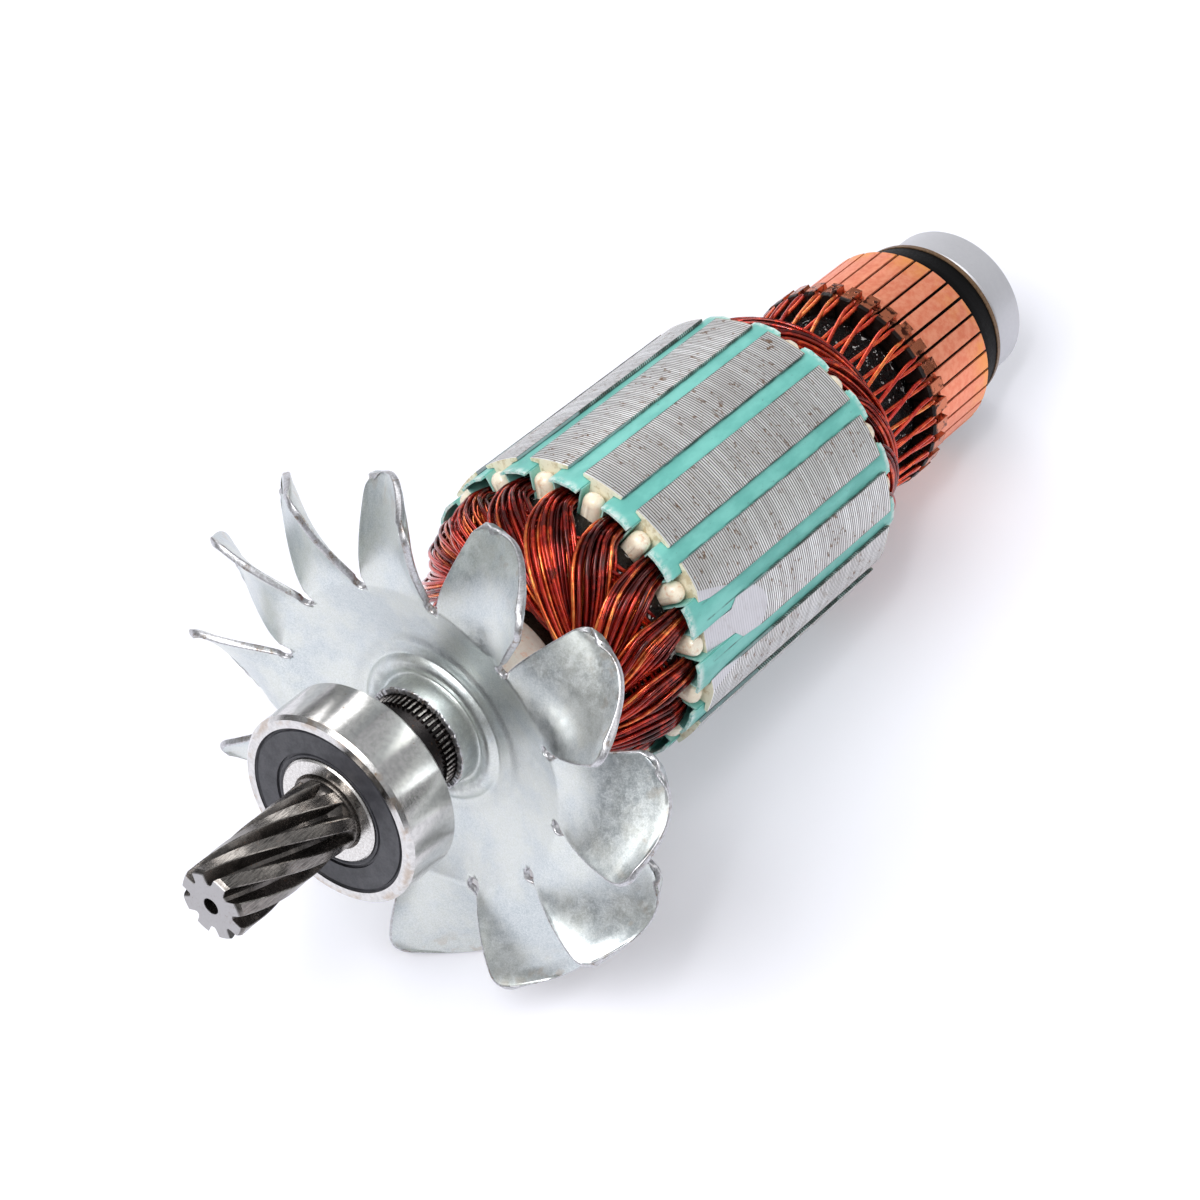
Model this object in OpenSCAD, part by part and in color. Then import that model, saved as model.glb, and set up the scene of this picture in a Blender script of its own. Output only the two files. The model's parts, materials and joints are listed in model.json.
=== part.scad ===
/* [Shaft] */
// Radius of the bearing journals at both ends
journal_r = 6; // [5.5:0.1:6.5]
// Radius of the shaft between the journals
shaft_r = 7.4; // [7.1:0.1:7.6]
// Radius over the ridges of the knurled band that grips the fan
knurl_r = 7.9; // [7.8:0.1:8.1]
// Number of ridges round the knurled band
knurl_count = 50; // [36:1:60]
// Length of shaft that stands out past the rear bearing
tail_l = 1; // [0.5:0.5:4]

/* [Pinion] */
// Number of teeth of the helical pinion
teeth = 8; // [6:1:9]
// Radius over the tooth crests
crest_r = 5.85; // [5.5:0.05:5.95]
// Radius at the bottom of the tooth gaps
root_r = 3.95; // [3.6:0.05:4.2]
// Length of the pinion in front of the front bearing
pinion_l = 24.6; // [18:0.2:32]
// Helix angle of the teeth, right-handed
helix = 23; // [10:1:28]

/* [Bearings] */
// Outside diameter of the front bearing
front_od = 32; // [32:1:35]
// Width of the front bearing
front_w = 10; // [10:0.5:12]
// Ball diameter of the front bearing
front_ball = 5.8; // [5.6:0.1:6]
// Outside diameter of the rear bearing
rear_od = 28; // [27:1:30]
// Width of the rear bearing
rear_w = 8; // [8:0.5:10]
// Ball diameter of the rear bearing
rear_ball = 4.6; // [4.4:0.1:4.8]
// Number of balls in the front bearing
front_balls = 8; // [6:1:8]
// Number of balls in the rear bearing
rear_balls = 9; // [7:1:9]

/* [Fan] */
// Number of fan blades
blades = 12; // [10:1:14]
// Radius over the blade tips
fan_r = 43.9; // [40:0.5:48]
// Radius at which the slits between the blades end
slit_r = 26.5; // [24:0.5:29]
// Thickness of the sheet
sheet = 1.2; // [1:0.1:1.6]
// Twist of a blade at its tip
blade_twist = 35; // [15:1:40]
// Depth of the scoop across a blade at its tip
blade_scoop = 2.5; // [0.5:0.1:3.5]
// Width of the slits between the blades
slit_w = 1.3; // [0.8:0.1:2]

/* [Core] */
// Outside radius of the lamination stack
core_r = 26.5; // [25.5:0.25:27.5]
// Length of the lamination stack
core_l = 49; // [40:1:60]
// Number of slots
slots = 16; // [14:2:16]
// Width of a slot at the surface of the stack
slot_open = 2.95; // [2.4:0.05:3.4]
// Outside radius of the insulating sleeve on the shaft
sleeve_r = 10; // [9.5:0.25:10.5]

/* [Commutator] */
// Number of commutator bars
bars = 32; // [28:4:36]
// Radius of the brush track
track_r = 17.7; // [17:0.1:18]
// Length of the bars from hook to end
bar_l = 19.8; // [17:0.2:24]
// Width of the undercut between two bars
undercut = 0.55; // [0.4:0.05:0.7]
// Radius over the wire hooks
hook_r = 19.1; // [18.8:0.1:19.8]

/* [Hidden] */
$fn = 64;

// Small overlap used where one shape cuts or joins another
e = 0.01;
// Sideways clearance between parts that turn against each other
run_gap = 0.08;

// Stations along the shaft, from the front bearing's outer face
knurl_z = 17.7;
collar_z = 19.5;
fan_z = 23.7;
// Front end of the insulating sleeve, and the varnished groove where the winding begins
sleeve_z = fan_z + sheet + 0.1;
groove_z = 42.4;
groove_l = 3;
core_z = 59.4;
core_end = core_z + core_l;
// Thickness and width of the fingers that guard the ends of the teeth
guard_l = 3.1;
guard_w = 3.5;
head_z = core_z - guard_l;
rear_head_z = core_end + guard_l;
// Length of the leads, of the moulding past the bars, and of the step before the rear bearing
lead_l = 22.1;
nose_l = 6.6;
step_l = 2.4;
hook_z = rear_head_z + lead_l;
bar_end = hook_z + bar_l;
body_end = bar_end + nose_l;
washer_t = 0.8;
rear_z = body_end + step_l;
shaft_end = rear_z + rear_w + tail_l;

// Angles round the shaft, from straight down
slot_phase = 13.9;
bar_phase = 7.95;
tooth_phase = 14;
mill_phase = 250.4;

bar_step = 360 / bars;
slot_step = 360 / slots;

// Repeats its children evenly round the shaft
module ring_of(n, phase = 0) {
    for (i = [0:n - 1])
        rotate([0, 0, phase + i * 360 / n])
            children();
}

// ---------- Shaft with its pinion ----------

// Half of one tooth, as radius and half angle, from the gap to the crest
function tooth_side() = [
    [root_r, 0.40],
    [root_r + 0.35 * (crest_r - root_r), 0.31],
    [root_r + 0.75 * (crest_r - root_r), 0.26],
    [crest_r - 0.1, 0.235],
    [crest_r, 0.2]
];

function tooth_points(step) = [
    for (i = [0:teeth - 1])
        let (s = tooth_side(), n = len(s))
            for (k = [0:2 * n - 1])
                let (p = k < n ? s[k] : s[2 * n - 1 - k], side = k < n ? -1 : 1)
                    let (a = i * step + side * p[1] * step)
                        [p[0] * cos(a), p[0] * sin(a)]
];

module pinion() {
    turn = pinion_l * tan(helix) / crest_r * 180 / PI;
    run_out = 5;
    intersection() {
        translate([0, 0, -pinion_l])
            rotate([0, 0, tooth_phase])
                linear_extrude(height = pinion_l, twist = -turn, slices = 22)
                    polygon(tooth_points(360 / teeth));
        translate([0, 0, -pinion_l])
            rotate_extrude()
                polygon([[0, 0], [crest_r - 0.45, 0], [crest_r + e, 0.8],
                    [crest_r + e, pinion_l], [0, pinion_l]]);
    }
    // Gaps run out towards the bearing
    rotate_extrude()
        polygon(concat([[0, 0.2], [0, -run_out]],
            [for (a = [0:15:90])
                [root_r - 0.3 + (journal_r - root_r + 0.3) * (1 - cos(a)),
                    -run_out + (run_out - 0.6) * sin(a)]],
            [[journal_r, 0.2]]));
}

module knurl() {
    step = 360 / knurl_count;
    linear_extrude(height = fan_z + sheet - knurl_z)
        polygon([for (i = [0:knurl_count - 1], k = [0:3])
            let (a = (i + [0, 0.3, 0.5, 0.8][k]) * step, r = k < 2 ? shaft_r - 0.05 : knurl_r)
                [r * cos(a), r * sin(a)]]);
}

module centre_hole(depth = 4.5) {
    translate([0, 0, -e])
        cylinder(r = 0.8, h = depth + 1.5);
    translate([0, 0, -e])
        cylinder(r = 1.35, h = depth);
    translate([0, 0, depth - 2 * e])
        cylinder(r1 = 1.35, r2 = 0.8, h = 0.9);
}

module shaft() {
    place() color([0.24, 0.23, 0.22]) {
        difference() {
            union() {
                pinion();
                rotate_extrude()
                    polygon([[0, 0], [journal_r, 0], [journal_r, front_w], [shaft_r, front_w],
                        [shaft_r, rear_z], [journal_r, rear_z], [journal_r, shaft_end - 0.6],
                        [journal_r - 0.6, shaft_end], [0, shaft_end]]);
                translate([0, 0, knurl_z])
                    knurl();
            }
            translate([0, 0, -pinion_l])
                centre_hole();
            translate([0, 0, shaft_end])
                mirror([0, 0, 1])
                    centre_hole();
        }
    }
}

// ---------- Ball bearings ----------

// Radius of the pitch circle on which the balls run
function pitch_r(od) = (od / 2 + journal_r) / 2;
function inner_land(od, ball) = pitch_r(od) - 0.34 * ball;
function outer_land(od, ball) = pitch_r(od) + 0.36 * ball;
function seal_seat(od, ball) = outer_land(od, ball) + 0.95;
function lip_land(od, ball) = inner_land(od, ball) - 0.3;

seal_depth = 1.05;
ring_edge = 0.6;

module race_groove(od, w, ball) {
    rotate_extrude()
        translate([pitch_r(od), w / 2])
            circle(r = ball / 2 + run_gap);
}

module inner_ring(od, w, ball) {
    land = inner_land(od, ball);
    lip = lip_land(od, ball);
    difference() {
        rotate_extrude()
            polygon([[journal_r, 0.4], [journal_r + 0.4, 0], [lip - 0.25, 0], [lip, 0.25],
                [lip, seal_depth], [land, seal_depth], [land, w - seal_depth],
                [lip, w - seal_depth], [lip, w - 0.25], [lip - 0.25, w],
                [journal_r + 0.4, w], [journal_r, w - 0.4]]);
        race_groove(od, w, ball);
    }
}

module outer_ring(od, w, ball) {
    land = outer_land(od, ball);
    seat = seal_seat(od, ball);
    r = od / 2;
    difference() {
        rotate_extrude()
            polygon([[seat, 0], [r - ring_edge, 0], [r, ring_edge], [r, w - ring_edge],
                [r - ring_edge, w], [seat, w], [seat, w - seal_depth],
                [land, w - seal_depth], [land, seal_depth], [seat, seal_depth]]);
        race_groove(od, w, ball);
    }
}

module ball_set(od, w, ball, n) {
    ring_of(n)
        translate([pitch_r(od), 0, w / 2])
            sphere(d = ball, $fn = 32);
}

module cage(od, w, ball, n) {
    half = ball / 2 + run_gap;
    wide = half + 0.4;
    difference() {
        translate([0, 0, w / 2 - wide])
            difference() {
                cylinder(r = pitch_r(od) + 0.75, h = 2 * wide);
                translate([0, 0, -e])
                    cylinder(r = pitch_r(od) - 0.75, h = 2 * wide + 2 * e);
            }
        ring_of(n)
            translate([pitch_r(od) - 2, 0, w / 2])
                rotate([0, 90, 0])
                    cylinder(r = half, h = 4);
    }
}

// Rubber seal with a rim bead, a flat web and a stepped lip; its outside faces down
module seal(od, ball) {
    seat = seal_seat(od, ball);
    lip = lip_land(od, ball) + run_gap;
    rotate_extrude()
        polygon([[seat, 0.2], [seat, seal_depth], [lip + 0.2, seal_depth - 0.15],
            [lip, 0.75], [lip, 0.45], [lip + 0.35, 0.25], [lip + 0.55, 0.25],
            [lip + 0.6, 0.55], [lip + 1, 0.55], [lip + 1.05, 0.15], [seat - 0.6, 0.15],
            [seat - 0.5, 0.5], [seat - 0.25, 0.5]]);
}

module front_inner_ring() {
    place() color([0.8, 0.79, 0.76])
        inner_ring(front_od, front_w, front_ball);
}

module front_outer_ring() {
    place() color([0.86, 0.86, 0.85])
        outer_ring(front_od, front_w, front_ball);
}

module front_balls_set() {
    place() color([0.85, 0.86, 0.87])
        ball_set(front_od, front_w, front_ball, front_balls);
}

module front_cage() {
    place() color([0.7, 0.68, 0.62])
        cage(front_od, front_w, front_ball, front_balls);
}

module front_bearing_outboard_seal() {
    place() color([0.16, 0.16, 0.18])
        seal(front_od, front_ball);
}

module front_bearing_inboard_seal() {
    place() color([0.16, 0.16, 0.18])
        translate([0, 0, front_w])
            mirror([0, 0, 1])
                seal(front_od, front_ball);
}

module rear_inner_ring() {
    place() color([0.78, 0.78, 0.79])
        translate([0, 0, rear_z])
            inner_ring(rear_od, rear_w, rear_ball);
}

module rear_outer_ring() {
    place() color([0.78, 0.78, 0.79])
        translate([0, 0, rear_z])
            outer_ring(rear_od, rear_w, rear_ball);
}

module rear_balls_set() {
    place() color([0.85, 0.86, 0.87])
        translate([0, 0, rear_z])
            ball_set(rear_od, rear_w, rear_ball, rear_balls);
}

module rear_cage() {
    place() color([0.7, 0.68, 0.62])
        translate([0, 0, rear_z])
            cage(rear_od, rear_w, rear_ball, rear_balls);
}

module rear_bearing_inboard_seal() {
    place() color([0.16, 0.16, 0.18])
        translate([0, 0, rear_z])
            seal(rear_od, rear_ball);
}

module rear_bearing_outboard_seal() {
    place() color([0.16, 0.16, 0.18])
        translate([0, 0, rear_z + rear_w])
            mirror([0, 0, 1])
                seal(rear_od, rear_ball);
}

// ---------- Fan ----------

// Radius where the dish starts, outside the bead round the hub
dish_r = 12.6;
dish_rise = 3.5;
blade_root_r = slit_r - 1.9;

// Front face of the dish, as height along the shaft for a radius
function dish_z(r) =
    let (t = (r - dish_r) / (slit_r - dish_r))
        fan_z - dish_rise * (0.35 * t + 0.65 * t * t);

// Middle line of a blade carries on from the dish and curves back to the stack
function blade_mid(r) =
    r <= slit_r ? dish_z(r) :
    let (t = (r - slit_r) / (fan_r - slit_r))
        dish_z(slit_r) - 3.6 * t * (1 - t) + 1 * t;

blade_cols = [for (j = [0:6]) -1 + j / 3];
blade_half_t = sheet / 2 - 0.05;
// Fall of the tip edge towards its corners, and how much more at the rear corner
tip_drop = 1.7;
tip_skew = 0.35;

function ease(t) = t <= 0 ? 0 : t * (1.6 - 0.6 * t);

// Half width of the flat blade at a radius, with rounded tip corners
function blade_half(r) =
    let (round_r = 3.4, over = max(0, r - (fan_r - round_r)), w = r * tan(180 / blades) - slit_w / 2)
        w - round_r + sqrt(max(0, round_r * round_r - over * over));

// Point on the middle surface of a blade: radius r, sideways place v from -1 to 1
function blade_point(r, v) =
    let (t = (r - slit_r) / (fan_r - slit_r), a = v * blade_half(r) / r * 180 / PI)
        let (q = r - tip_drop * max(0, t) * (v * v - tip_skew * v), y = q * sin(a), tw = blade_twist * ease(t))
            let (sc = blade_scoop * max(0, t))
                [q * cos(a), y * cos(tw), blade_mid(r) + sheet / 2 - y * sin(tw) + sc * (1 - v * v)];

function unit(v) = v / norm(v);

function blade_normal(r, v) =
    unit(cross(blade_point(r + 0.02, v) - blade_point(r - 0.02, v),
        blade_point(r, v + 0.01) - blade_point(r, v - 0.01)));

function blade_skin(r, v, side) = blade_point(r, v) + side * blade_half_t * blade_normal(r, v);

// Stations from root to tip, closer together round the tip corners
function blade_rows() = concat(
    [blade_root_r, slit_r + 0.1],
    [for (i = [1:5]) slit_r + i * (fan_r - 3.4 - slit_r) / 5],
    [for (a = [25, 45, 65]) fan_r - 3.4 + 3.4 * sin(a)],
    [fan_r - 0.08]);

module blade() {
    rows = blade_rows();
    n = len(rows);
    m = len(blade_cols);
    pts = [for (side = [-1, 1], r = rows, v = blade_cols) blade_skin(r, v, side)];
    q = n * m;
    faces = concat(
        [for (i = [0:n - 2], j = [0:m - 2], k = [0, 1])
            let (a = i * m + j, b = a + 1, c = a + m, d = c + 1)
                k == 0 ? [a, c, b] : [b, c, d]],
        [for (i = [0:n - 2], j = [0:m - 2], k = [0, 1])
            let (a = q + i * m + j, b = a + 1, c = a + m, d = c + 1)
                k == 0 ? [a, b, c] : [b, d, c]],
        [for (i = [0:n - 2], j = [0, m - 1])
            let (a = i * m + j, c = a + m)
                j == 0 ? [a, q + a, q + c, c] : [a, c, q + c, q + a]],
        [for (j = [0:m - 2], i = [0, n - 1])
            let (a = i * m + j, b = a + 1)
                i == 0 ? [a, b, q + b, q + a] : [a, q + a, q + b, b]]);
    polyhedron(points = pts, faces = faces, convexity = 4);
}

module fan_hub() {
    n = 8;
    neck_r = knurl_r + 0.95;
    front = concat(
        [[neck_r, collar_z], [neck_r, fan_z - 0.9], [neck_r + 0.25, fan_z - 0.4], [neck_r + 0.9, fan_z - 0.35],
            [(neck_r + dish_r) / 2, fan_z - 0.75], [dish_r - 0.9, fan_z - 0.45], [dish_r - 0.2, fan_z]],
        [for (i = [0:n]) let (r = dish_r + i * (slit_r - dish_r) / n) [r, dish_z(r)]]);
    back = [for (i = [n:-1:0]) let (r = dish_r + i * (slit_r - dish_r) / n) [r, dish_z(r) + sheet]];
    difference() {
        rotate_extrude()
            polygon(concat([[knurl_r, fan_z + sheet], [knurl_r, collar_z + 0.25], [knurl_r + 0.25, collar_z]], front, back));
        ring_of(blades)
            translate([slit_r, 0, 0])
                cylinder(r = 1.05, h = fan_z + 2 * sheet, $fn = 24);
    }
}

module fan() {
    place() color([0.74, 0.77, 0.78]) {
        fan_hub();
        ring_of(blades, 180 / blades)
            blade();
    }
}

// ---------- Core and its insulation ----------

slot_in = 1.3;
slot_low = 15.6;
slot_wide = 2.9;
lip_t = 0.55;
slot_high = core_r - lip_t - 0.45;
wall = 0.25;

// Outline of one slot along +X, drawn in by a margin and closed at radius top
module slot_shape(inset = 0, top = core_r + 2) {
    intersection() {
        union() {
            polygon([[slot_low, slot_in - inset], [slot_high, slot_wide - inset],
                [core_r - lip_t - inset, slot_open / 2 - inset], [core_r + 1, slot_open / 2 - inset],
                [core_r + 1, inset - slot_open / 2], [core_r - lip_t - inset, inset - slot_open / 2],
                [slot_high, inset - slot_wide], [slot_low, inset - slot_in]]);
            translate([slot_low, 0])
                circle(r = slot_in - inset);
        }
        translate([sleeve_r, -slot_low])
            square([top - sleeve_r, 2 * slot_low]);
    }
}

wedge_in = core_r - lip_t - 0.6;

// Balancing cut milled across the front ends of the teeth
module mill_cut() {
    rotate([0, 0, mill_phase])
        translate([core_r - 1.75, -slot_low, core_z - 1])
            rotate([0, 6.3, 0])
                translate([0, 0, -2 * guard_l])
                    cube([core_r, 2 * slot_low, core_l]);
}

module lamination_core() {
    place() color([0.62, 0.6, 0.59])
        difference() {
            translate([0, 0, core_z])
                linear_extrude(height = core_l)
                    difference() {
                        circle(r = core_r);
                        circle(r = sleeve_r);
                        ring_of(slots, slot_phase)
                            slot_shape();
                    }
            mill_cut();
        }
}

module end_insulator(z) {
    r = guard_l / 2;
    finger_in = slot_low - slot_in - 1;
    finger_out = core_r - 2.8;
    translate([0, 0, z]) {
        difference() {
            cylinder(r = slot_low - slot_in - 0.2, h = guard_l);
            translate([0, 0, -e])
                cylinder(r = sleeve_r, h = guard_l + 2 * e);
        }
        // Each finger is two round bars side by side that run into each other
        ring_of(slots, slot_phase + slot_step / 2)
            for (side = [-1, 1])
                translate([0, side * (guard_w / 2 - r), r]) {
                    translate([finger_in, 0, 0])
                        rotate([0, 90, 0])
                            cylinder(r = r, h = finger_out - finger_in);
                    translate([finger_out, 0, 0])
                        sphere(r = r, $fn = 32);
                }
    }
}

module front_end_insulator() {
    place() color([0.93, 0.88, 0.78])
        difference() {
            end_insulator(head_z);
            mill_cut();
        }
}

module rear_end_insulator() {
    place() color([0.93, 0.88, 0.78])
        end_insulator(core_end);
}

module shaft_sleeve() {
    groove_r = sleeve_r - 0.9;
    place() color([0.9, 0.84, 0.76])
        rotate_extrude()
            polygon([[shaft_r, sleeve_z], [sleeve_r, sleeve_z], [sleeve_r, groove_z - 0.2],
                [sleeve_r - 0.2, groove_z], [groove_r, groove_z], [groove_r, groove_z + groove_l],
                [sleeve_r, groove_z + groove_l], [sleeve_r, hook_z - 1.6], [shaft_r, hook_z - 1.6]]);
}

module slot_liners() {
    place() color([0.56, 0.8, 0.77])
        ring_of(slots, slot_phase)
            translate([0, 0, core_z - 2.2])
                linear_extrude(height = core_l + 4)
                    difference() {
                        slot_shape(0.02, wedge_in - 0.1);
                        slot_shape(0.02 + wall, wedge_in);
                    }
}

module slot_wedges() {
    t = 0.42;
    mid_w = slot_open / 2 - 0.06;
    side_w = slot_wide - 0.25;
    place() color([0.5, 0.78, 0.75])
        ring_of(slots, slot_phase)
            translate([0, 0, core_z - 3.3])
                linear_extrude(height = core_l + 5.4)
                    polygon([[wedge_in + 0.5, mid_w], [wedge_in + 0.12, side_w],
                        [wedge_in + 0.12 - t, side_w - 0.1], [wedge_in + 0.5 - t, mid_w - 0.3],
                        [wedge_in + 0.5 - t, 0.3 - mid_w], [wedge_in + 0.12 - t, 0.1 - side_w],
                        [wedge_in + 0.12, -side_w], [wedge_in + 0.5, -mid_w]]);
}

// ---------- Winding ----------

// A swept winding head: bundles leave the slots and sweep round the sleeve.
// deep is how far it stands off the stack, lean how much more it does so near the
// sleeve, sweep how far a bundle turns and ridge how high its middle stands.
function head_point(i, j, n, m, deep, lean, wide, sweep, ridge) =
    let (s = j / (m - 1), a = 180 * s, mid = (wide + sleeve_r) / 2, half = (wide - sleeve_r - 0.1) / 2)
        let (r0 = mid + 0.05 + half * cos(a), th = 360 * i / n + sweep * s, tall = deep * (1 + lean * (s - 0.5)))
            let (bump = ridge * (1 - 0.75 * s) * cos(slots * 360 * i / n) * min(1, 4 * s * (1 - s) + 0.25))
                let (r = max(sleeve_r + 0.06, r0 + bump * cos(a)), z = (tall + bump) * sin(a))
                    [r * cos(th), r * sin(th), z];

module winding_head(deep, lean, wide, turned, ridge) {
    per = 6;
    n = slots * per;
    m = 12;
    sweep = turned * slot_step;
    back = (n - turned * per) % n;
    pts = [for (j = [0:m - 1], i = [0:n - 1]) head_point(i, j, n, m, deep, lean, wide, sweep, ridge)];
    faces = concat(
        [for (j = [0:m - 2], i = [0:n - 1])
            let (a = j * n + i, b = j * n + (i + 1) % n)
                [b, a, b + n]],
        [for (j = [0:m - 2], i = [0:n - 1])
            let (a = j * n + i, b = j * n + (i + 1) % n)
                [b + n, a, a + n]],
        [for (i = [0:n - 1])
            let (a = i, b = (i + 1) % n, c = (m - 1) * n + (i + back) % n)
                [a, b, c]],
        [for (i = [0:n - 1])
            let (b = (i + 1) % n, c = (m - 1) * n + (i + back) % n, d = (m - 1) * n + (i + 1 + back) % n)
                [c, b, d]]);
    polyhedron(points = pts, faces = faces, convexity = 6);
}

// Outside radius of both winding heads, how far each stands off, ridge height at the rear
head_r = 22.2;
front_head = 12.2;
rear_head = 8.5;
rear_ridge = 0.8;
lead_bed_r = 15.8;

module armature_winding() {
    place() color([0.45, 0.13, 0.08]) {
        translate([0, 0, head_z])
            mirror([0, 0, 1])
                rotate([0, 0, slot_phase])
                    winding_head(front_head, 0.7, head_r, 3, 1.1);
        ring_of(slots, slot_phase)
            translate([0, 0, head_z - 0.3])
                linear_extrude(height = core_l + 2 * guard_l + 0.6)
                    slot_shape(0.32 + wall, wedge_in - 0.4);
        translate([0, 0, rear_head_z])
            rotate([0, 0, slot_phase])
                winding_head(rear_head, 0, head_r, 3, rear_ridge);
        // Bed of varnished leads between the rear head and the commutator
        rotate_extrude()
            polygon([[sleeve_r + 0.08, rear_head_z + 2], [lead_bed_r + 1, rear_head_z + 2],
                [lead_bed_r + 0.6, rear_head_z + 7], [lead_bed_r - 0.4, rear_head_z + 12],
                [lead_bed_r, hook_z - 2], [lead_bed_r - 0.6, hook_z - 0.25],
                [bar_low + 0.05, hook_z - 0.35], [bar_low - 1.4, hook_z - 1.65],
                [sleeve_r + 0.08, hook_z - 1.65]]);
    }
}

// ---------- Commutator ----------

bar_low = 13.6;
hook_l = 4.6;
hook_w = 2;
lead_r = 0.34;
eye_r = track_r + 0.5;
eye_z = hook_z + 1.7;

// A tang folded back over its wire, with the wire's eye through it sideways
module bar_hook() {
    out = hook_r - track_r + 1;
    translate([0, hook_w / 2, 0])
        rotate([90, 0, 0])
            linear_extrude(height = hook_w)
                difference() {
                    union() {
                        translate([track_r - 1, hook_z + 1.1])
                            square([out, hook_l - 1.6]);
                        translate([track_r - 1, hook_z + 1.1])
                            intersection() {
                                circle(r = out);
                                translate([0, -1.1])
                                    square([out, 1.2]);
                            }
                    }
                    translate([eye_r, eye_z])
                        circle(r = lead_r + 0.1, $fn = 24);
                }
}

module commutator_bars() {
    wide = bar_step - undercut / track_r * 180 / PI;
    place() color([0.93, 0.58, 0.44])
        ring_of(bars, bar_phase + bar_step / 2) {
            rotate([0, 0, -wide / 2])
                rotate_extrude(angle = wide)
                    polygon([[bar_low, hook_z + 0.3], [track_r - 0.3, hook_z], [track_r, hook_z + 0.3],
                        [track_r, hook_z + hook_l - 1.2], [track_r - 0.35, hook_z + hook_l - 1],
                        [track_r - 0.35, hook_z + hook_l - 0.2], [track_r, hook_z + hook_l],
                        [track_r, bar_end - 0.3], [track_r - 0.3, bar_end], [bar_low, bar_end]]);
            bar_hook();
        }
}

module commutator_body() {
    fin = undercut / track_r * 180 / PI;
    place() color([0.09, 0.08, 0.08]) {
        rotate_extrude()
            polygon([[shaft_r, hook_z - 1.6], [bar_low - 1.4, hook_z - 1.6], [bar_low, hook_z - 0.3],
                [bar_low, bar_end], [track_r - 1.1, bar_end], [track_r - 1.1, bar_end + 1.2],
                [track_r - 2.4, body_end], [shaft_r, body_end]]);
        ring_of(bars, bar_phase)
            rotate([0, 0, -fin / 2])
                rotate_extrude(angle = fin)
                    translate([bar_low - 0.5, hook_z + 0.4])
                        square([track_r - bar_low - 0.5, bar_l - 0.4]);
    }
}

module rear_washer() {
    place() color([0.42, 0.28, 0.18])
        translate([0, 0, body_end])
            difference() {
                cylinder(r = track_r - 2.2, h = washer_t);
                translate([0, 0, -e])
                    cylinder(r = shaft_r, h = washer_t + 2 * e);
            }
}

// Straight length of wire between two points
module wire(p, q) {
    d = q - p;
    translate(p)
        rotate([0, acos(d[2] / norm(d)), atan2(d[1], d[0])])
            cylinder(r = lead_r, h = norm(d), $fn = 16);
}

// Each wire comes up beside a hook, passes through its eye and goes back down
module commutator_leads() {
    side = hook_w / 2 + lead_r + 0.03;
    low_r = lead_bed_r + 0.4 + lead_r + 0.05;
    low_z = rear_head_z + rear_head + rear_ridge + lead_r + 0.1;
    place() color([0.75, 0.25, 0.15])
        ring_of(bars, bar_phase + bar_step / 2) {
            for (way = [-1, 1])
                wire([low_r, way * 0.8, low_z], [eye_r, way * side, eye_z]);
            wire([eye_r, -side, eye_z], [eye_r, side, eye_z]);
            for (way = [-1, 1])
                translate([eye_r, way * side, eye_z])
                    sphere(r = lead_r + 0.04, $fn = 16);
        }
}

// ---------- Resting place ----------

// At rest a slit points down, so two blade tips and one rear edge touch the floor
half_step = 180 / blades;
tips = [for (r = blade_rows(), j = blade_cols, side = [-1, 1], way = [-1, 1])
    let (p = blade_skin(r, j, side))
        [p[0] * cos(half_step) + way * p[1] * sin(half_step), p[2]]];
rear_feet = [[core_r, core_end], [track_r, bar_end - 0.3], [rear_od / 2, rear_z + rear_w - ring_edge]];
rest_slope = min([for (f = rear_feet) max([for (p = tips) (p[0] - f[0]) / (f[1] - p[1])])]);
rest_tilt = atan(rest_slope);
rest_h = max([for (f = rear_feet) f[0] * cos(rest_tilt) + f[1] * sin(rest_tilt)]);
front_x = -pinion_l * cos(rest_tilt) - crest_r * sin(rest_tilt);
rear_x = (rear_z + rear_w) * cos(rest_tilt) + rear_od / 2 * sin(rest_tilt);
centre_x = -(front_x + rear_x) / 2;

// Stands the shaft axis in its resting place
module place() {
    translate([centre_x, 0, rest_h])
        rotate([0, 90 + rest_tilt, 0])
            children();
}

shaft();
front_inner_ring();
front_outer_ring();
front_balls_set();
front_cage();
front_bearing_outboard_seal();
front_bearing_inboard_seal();
fan();
shaft_sleeve();
lamination_core();
front_end_insulator();
rear_end_insulator();
slot_liners();
slot_wedges();
armature_winding();
commutator_leads();
commutator_bars();
commutator_body();
rear_washer();
rear_inner_ring();
rear_outer_ring();
rear_balls_set();
rear_cage();
rear_bearing_inboard_seal();
rear_bearing_outboard_seal();
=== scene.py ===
import json
import math
import random

import bmesh
import bpy
import numpy as np
from mathutils import Matrix, Vector


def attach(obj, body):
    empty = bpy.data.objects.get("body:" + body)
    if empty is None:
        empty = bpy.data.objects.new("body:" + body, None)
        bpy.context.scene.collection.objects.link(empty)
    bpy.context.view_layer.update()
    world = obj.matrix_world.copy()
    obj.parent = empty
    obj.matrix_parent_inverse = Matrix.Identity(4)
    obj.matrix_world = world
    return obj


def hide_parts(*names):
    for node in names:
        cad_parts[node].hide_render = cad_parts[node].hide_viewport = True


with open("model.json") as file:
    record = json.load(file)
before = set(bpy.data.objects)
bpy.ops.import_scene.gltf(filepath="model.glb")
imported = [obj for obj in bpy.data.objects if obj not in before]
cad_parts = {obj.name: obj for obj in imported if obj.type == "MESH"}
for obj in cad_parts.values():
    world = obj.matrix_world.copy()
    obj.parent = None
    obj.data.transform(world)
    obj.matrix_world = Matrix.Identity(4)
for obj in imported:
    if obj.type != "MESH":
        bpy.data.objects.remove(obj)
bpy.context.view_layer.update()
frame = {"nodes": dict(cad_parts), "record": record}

nodes = frame["nodes"]
mounts = {m["name"]: m for m in frame["record"]["mounts"]}
MM = 0.001

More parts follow.
